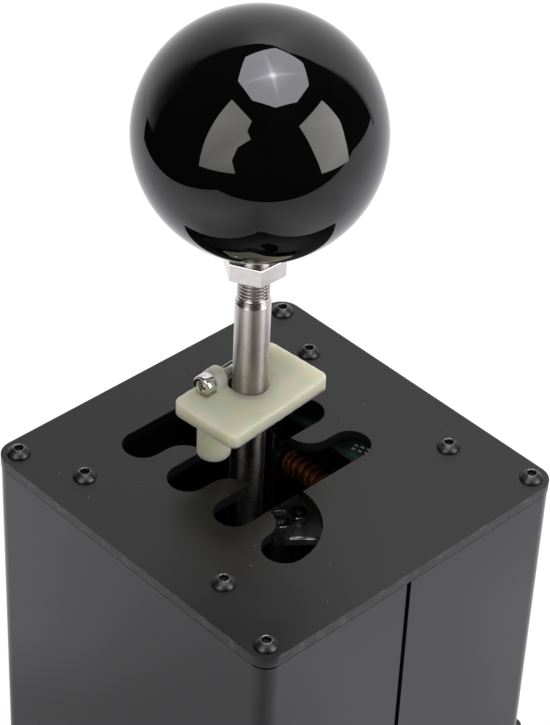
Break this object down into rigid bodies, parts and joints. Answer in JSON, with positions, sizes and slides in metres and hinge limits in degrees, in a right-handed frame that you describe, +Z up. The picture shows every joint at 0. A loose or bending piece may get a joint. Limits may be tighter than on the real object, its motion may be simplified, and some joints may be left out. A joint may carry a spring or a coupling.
{
  "type": "sim racing gear shifter",
  "caption": "Desktop H-pattern gear shifter: square sheet-metal box with a slotted gate plate, a steel lever with a gloss ball knob and a clamp-on plastic selector plate.",
  "frame": {"origin": "middle of the underside of the base plate", "axes": "+Z up along the lever at rest, +X to the driver's right across the gate, +Y forward, away from the driver"},
  "size_m": [0.1, 0.136, 0.2358],
  "materials": {
    "powder_coat": "satin fine powder coat",
    "cover_paint": "semi-gloss paint",
    "bracket_paint": "satin paint",
    "steel": "ground",
    "turned_steel": "turned",
    "bright_steel": "bright",
    "dark_steel": "plain",
    "spring_steel": "phosphated",
    "black_oxide": "black oxide",
    "brass": "turned",
    "bronze": "sintered",
    "nickel": "nickel plate",
    "circuit_board": "solder mask",
    "chip_black": "moulded",
    "aluminium": "milled",
    "spring_orange": "coated wire",
    "carriage_black": "moulded",
    "ball_black": "high gloss",
    "cream_plastic": "translucent moulded"
  },
  "bodies": {
    "housing": {"base_plate": "powder_coat", "front_cover": "cover_paint", "rear_cover": "cover_paint", "gate_plate": "powder_coat", "corner_posts": "steel", "corner_screws": "black_oxide", "base_screws": "black_oxide", "inner_screws": "black_oxide", "board_spacers": "brass", "board_nuts": "bright_steel", "rear_board": "circuit_board", "rear_board_parts": "chip_black", "front_board": "circuit_board", "front_board_parts": "chip_black", "usb_socket": "bright_steel", "rod_block_left": "aluminium", "rod_block_right": "aluminium", "slide_rods": "steel", "block_screws": "black_oxide", "spring_bracket": "bracket_paint", "bracket_screws": "black_oxide", "bracket_nuts": "bright_steel", "spring_rod": "steel", "rod_clips": "spring_steel", "spring_left": "spring_orange", "spring_right": "spring_orange"},
    "carriage": {"carriage": "carriage_black", "rod_bushes": "bronze", "pivot_pin": "steel", "arm_pillars": "aluminium", "centring_arm": "bracket_paint", "arm_screws": "dark_steel"},
    "lever": {"lever_hub": "aluminium", "hub_bush": "bronze", "hub_nut": "bright_steel", "shaft": "turned_steel", "jam_nut": "nickel", "knob_insert": "nickel", "ball_knob": "ball_black"},
    "selector": {"selector_plate": "cream_plastic", "clamp_screw": "bright_steel", "clamp_nut": "bright_steel"}
  },
  "joints": [
    {"name": "side_slide", "type": "slide", "parent": "housing", "child": "carriage", "axis": [1, 0, 0], "range_m": [-0.017, 0.017], "stiffness_N_per_m": 500, "deforming": ["spring_left", "spring_right"]},
    {"name": "shift", "type": "hinge", "parent": "carriage", "child": "lever", "pos_m": [-0.0106, 0.0005, 0.013], "axis": [-1, 0, 0], "range_deg": [-9.9, 9.9]},
    {"name": "selector_slide", "type": "slide", "parent": "lever", "child": "selector", "axis": [0, 0, 1], "range_m": [0, 0.022]}
  ]
}
